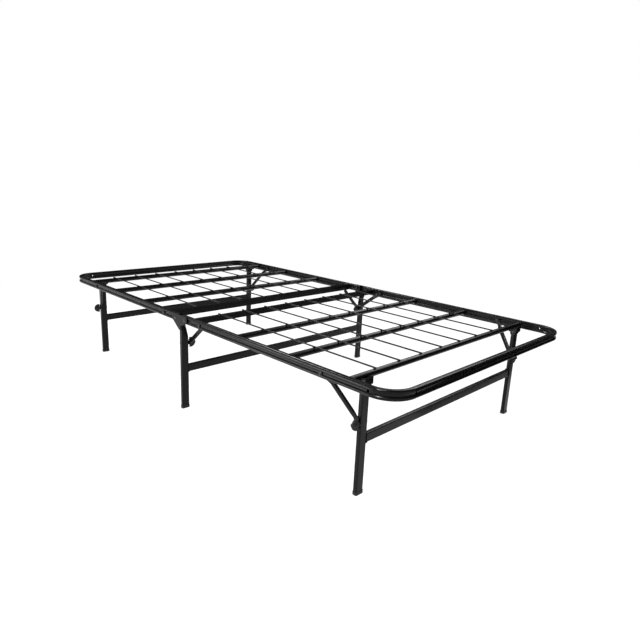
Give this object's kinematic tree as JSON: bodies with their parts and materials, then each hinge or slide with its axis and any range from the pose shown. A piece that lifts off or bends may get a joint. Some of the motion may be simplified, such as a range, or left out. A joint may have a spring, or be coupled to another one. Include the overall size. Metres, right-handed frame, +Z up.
{
  "type": "folding metal bed frame",
  "caption": "Low folding steel bed frame with a rounded beaded rail, cross tubes and lengthwise wires on three hinged leg frames, held open by hooked braces with wing nuts.",
  "frame": {"origin": "on the floor under the middle of the frame", "axes": "+X from the head end to the foot end, +Y across from the near side to the far side, +Z up"},
  "size_m": [1.905, 1.0016, 0.356],
  "materials": {
    "black_steel": "semi-gloss black powder coat",
    "black_wire": "satin black powder coat on drawn wire",
    "zinc_steel": "black-plated fasteners",
    "cap_plastic": "matte black moulded plastic"
  },
  "bodies": {
    "centre_frame": {"centre_leg_tubes": "black_steel", "centre_crossbar": "black_steel", "centre_foot_caps": "cap_plastic", "centre_hinge_plates": "black_steel", "centre_fold_pins": "zinc_steel", "centre_brace_bolts": "zinc_steel"},
    "head_half": {"head_rail": "black_steel", "head_slats": "black_steel", "head_centre_bar": "black_steel", "head_wires": "black_wire", "head_rivets": "zinc_steel", "head_leg_brackets": "black_steel", "head_leg_pins": "zinc_steel"},
    "head_leg_frame": {"head_leg_tubes": "black_steel", "head_crossbar": "black_steel", "head_foot_caps": "cap_plastic", "head_brace_bolts": "zinc_steel"},
    "head_near_brace": {"head_near_brace": "black_steel"},
    "head_near_mid_brace": {"head_near_mid_brace": "black_steel"},
    "head_near_wing_nut": {"head_near_wing_nut": "cap_plastic"},
    "head_far_brace": {"head_far_brace": "black_steel"},
    "head_far_mid_brace": {"head_far_mid_brace": "black_steel"},
    "head_far_wing_nut": {"head_far_wing_nut": "cap_plastic"},
    "foot_half": {"foot_rail": "black_steel", "foot_slats": "black_steel", "foot_centre_bar": "black_steel", "foot_wires": "black_wire", "foot_rivets": "zinc_steel", "foot_leg_brackets": "black_steel", "foot_leg_pins": "zinc_steel"},
    "foot_leg_frame": {"foot_leg_tubes": "black_steel", "foot_crossbar": "black_steel", "foot_foot_caps": "cap_plastic", "foot_brace_bolts": "zinc_steel"},
    "foot_near_brace": {"foot_near_brace": "black_steel"},
    "foot_near_mid_brace": {"foot_near_mid_brace": "black_steel"},
    "foot_near_wing_nut": {"foot_near_wing_nut": "cap_plastic"},
    "foot_far_brace": {"foot_far_brace": "black_steel"},
    "foot_far_mid_brace": {"foot_far_mid_brace": "black_steel"},
    "foot_far_wing_nut": {"foot_far_wing_nut": "cap_plastic"},
    "centre_near_wing_nut": {"centre_near_wing_nut": "cap_plastic"},
    "centre_far_wing_nut": {"centre_far_wing_nut": "cap_plastic"}
  },
  "joints": [
    {"name": "head_half_fold", "type": "hinge", "parent": "centre_frame", "child": "head_half", "pos_m": [-0.03, 0, 0.34], "axis": [0, -1, 0], "range_deg": [0, 90]},
    {"name": "head_leg_fold", "type": "hinge", "parent": "head_half", "child": "head_leg_frame", "pos_m": [-0.8005, 0, 0.322], "axis": [0, -1, 0], "range_deg": [0, 90]},
    {"name": "head_near_brace_fold", "type": "hinge", "parent": "head_half", "child": "head_near_brace", "pos_m": [-0.702, -0.4769, 0.34], "axis": [0, -1, 0], "range_deg": [0, 121.1]},
    {"name": "head_near_mid_brace_fold", "type": "hinge", "parent": "head_half", "child": "head_near_mid_brace", "pos_m": [-0.1175, -0.4769, 0.34], "axis": [0, 1, 0], "range_deg": [0, 142.2]},
    {"name": "head_near_wing_nut_spin", "type": "hinge", "parent": "head_leg_frame", "child": "head_near_wing_nut", "pos_m": [-0.8005, -0.454, 0.215], "axis": [0, -1, 0], "continuous": true},
    {"name": "head_far_brace_fold", "type": "hinge", "parent": "head_half", "child": "head_far_brace", "pos_m": [-0.702, 0.4769, 0.34], "axis": [0, -1, 0], "range_deg": [0, 121.1]},
    {"name": "head_far_mid_brace_fold", "type": "hinge", "parent": "head_half", "child": "head_far_mid_brace", "pos_m": [-0.1175, 0.4769, 0.34], "axis": [0, 1, 0], "range_deg": [0, 142.2]},
    {"name": "head_far_wing_nut_spin", "type": "hinge", "parent": "head_leg_frame", "child": "head_far_wing_nut", "pos_m": [-0.8005, 0.454, 0.215], "axis": [0, 1, 0], "continuous": true},
    {"name": "foot_half_fold", "type": "hinge", "parent": "centre_frame", "child": "foot_half", "pos_m": [0.03, 0, 0.34], "axis": [0, 1, 0], "range_deg": [0, 90]},
    {"name": "foot_leg_fold", "type": "hinge", "parent": "foot_half", "child": "foot_leg_frame", "pos_m": [0.8005, 0, 0.322], "axis": [0, 1, 0], "range_deg": [0, 90]},
    {"name": "foot_near_brace_fold", "type": "hinge", "parent": "foot_half", "child": "foot_near_brace", "pos_m": [0.702, -0.4769, 0.34], "axis": [0, 1, 0], "range_deg": [0, 121.1]},
    {"name": "foot_near_mid_brace_fold", "type": "hinge", "parent": "foot_half", "child": "foot_near_mid_brace", "pos_m": [0.1175, -0.4769, 0.34], "axis": [0, -1, 0], "range_deg": [0, 142.2]},
    {"name": "foot_near_wing_nut_spin", "type": "hinge", "parent": "foot_leg_frame", "child": "foot_near_wing_nut", "pos_m": [0.8005, -0.454, 0.215], "axis": [0, -1, 0], "continuous": true},
    {"name": "foot_far_brace_fold", "type": "hinge", "parent": "foot_half", "child": "foot_far_brace", "pos_m": [0.702, 0.4769, 0.34], "axis": [0, 1, 0], "range_deg": [0, 121.1]},
    {"name": "foot_far_mid_brace_fold", "type": "hinge", "parent": "foot_half", "child": "foot_far_mid_brace", "pos_m": [0.1175, 0.4769, 0.34], "axis": [0, -1, 0], "range_deg": [0, 142.2]},
    {"name": "foot_far_wing_nut_spin", "type": "hinge", "parent": "foot_leg_frame", "child": "foot_far_wing_nut", "pos_m": [0.8005, 0.454, 0.215], "axis": [0, 1, 0], "continuous": true},
    {"name": "centre_near_wing_nut_spin", "type": "hinge", "parent": "centre_frame", "child": "centre_near_wing_nut", "pos_m": [0, -0.45, 0.248], "axis": [0, 1, 0], "continuous": true},
    {"name": "centre_far_wing_nut_spin", "type": "hinge", "parent": "centre_frame", "child": "centre_far_wing_nut", "pos_m": [0, 0.45, 0.248], "axis": [0, -1, 0], "continuous": true}
  ],
  "couplings": [
    {"joint": "head_leg_fold", "follows": "head_half_fold", "ratio": 1},
    {"joint": "head_near_brace_fold", "follows": "head_half_fold", "ratio": 1.345},
    {"joint": "head_near_mid_brace_fold", "follows": "head_half_fold", "ratio": 1.58},
    {"joint": "head_far_brace_fold", "follows": "head_half_fold", "ratio": 1.345},
    {"joint": "head_far_mid_brace_fold", "follows": "head_half_fold", "ratio": 1.58},
    {"joint": "foot_leg_fold", "follows": "foot_half_fold", "ratio": 1},
    {"joint": "foot_near_brace_fold", "follows": "foot_half_fold", "ratio": 1.345},
    {"joint": "foot_near_mid_brace_fold", "follows": "foot_half_fold", "ratio": 1.58},
    {"joint": "foot_far_brace_fold", "follows": "foot_half_fold", "ratio": 1.345},
    {"joint": "foot_far_mid_brace_fold", "follows": "foot_half_fold", "ratio": 1.58}
  ]
}
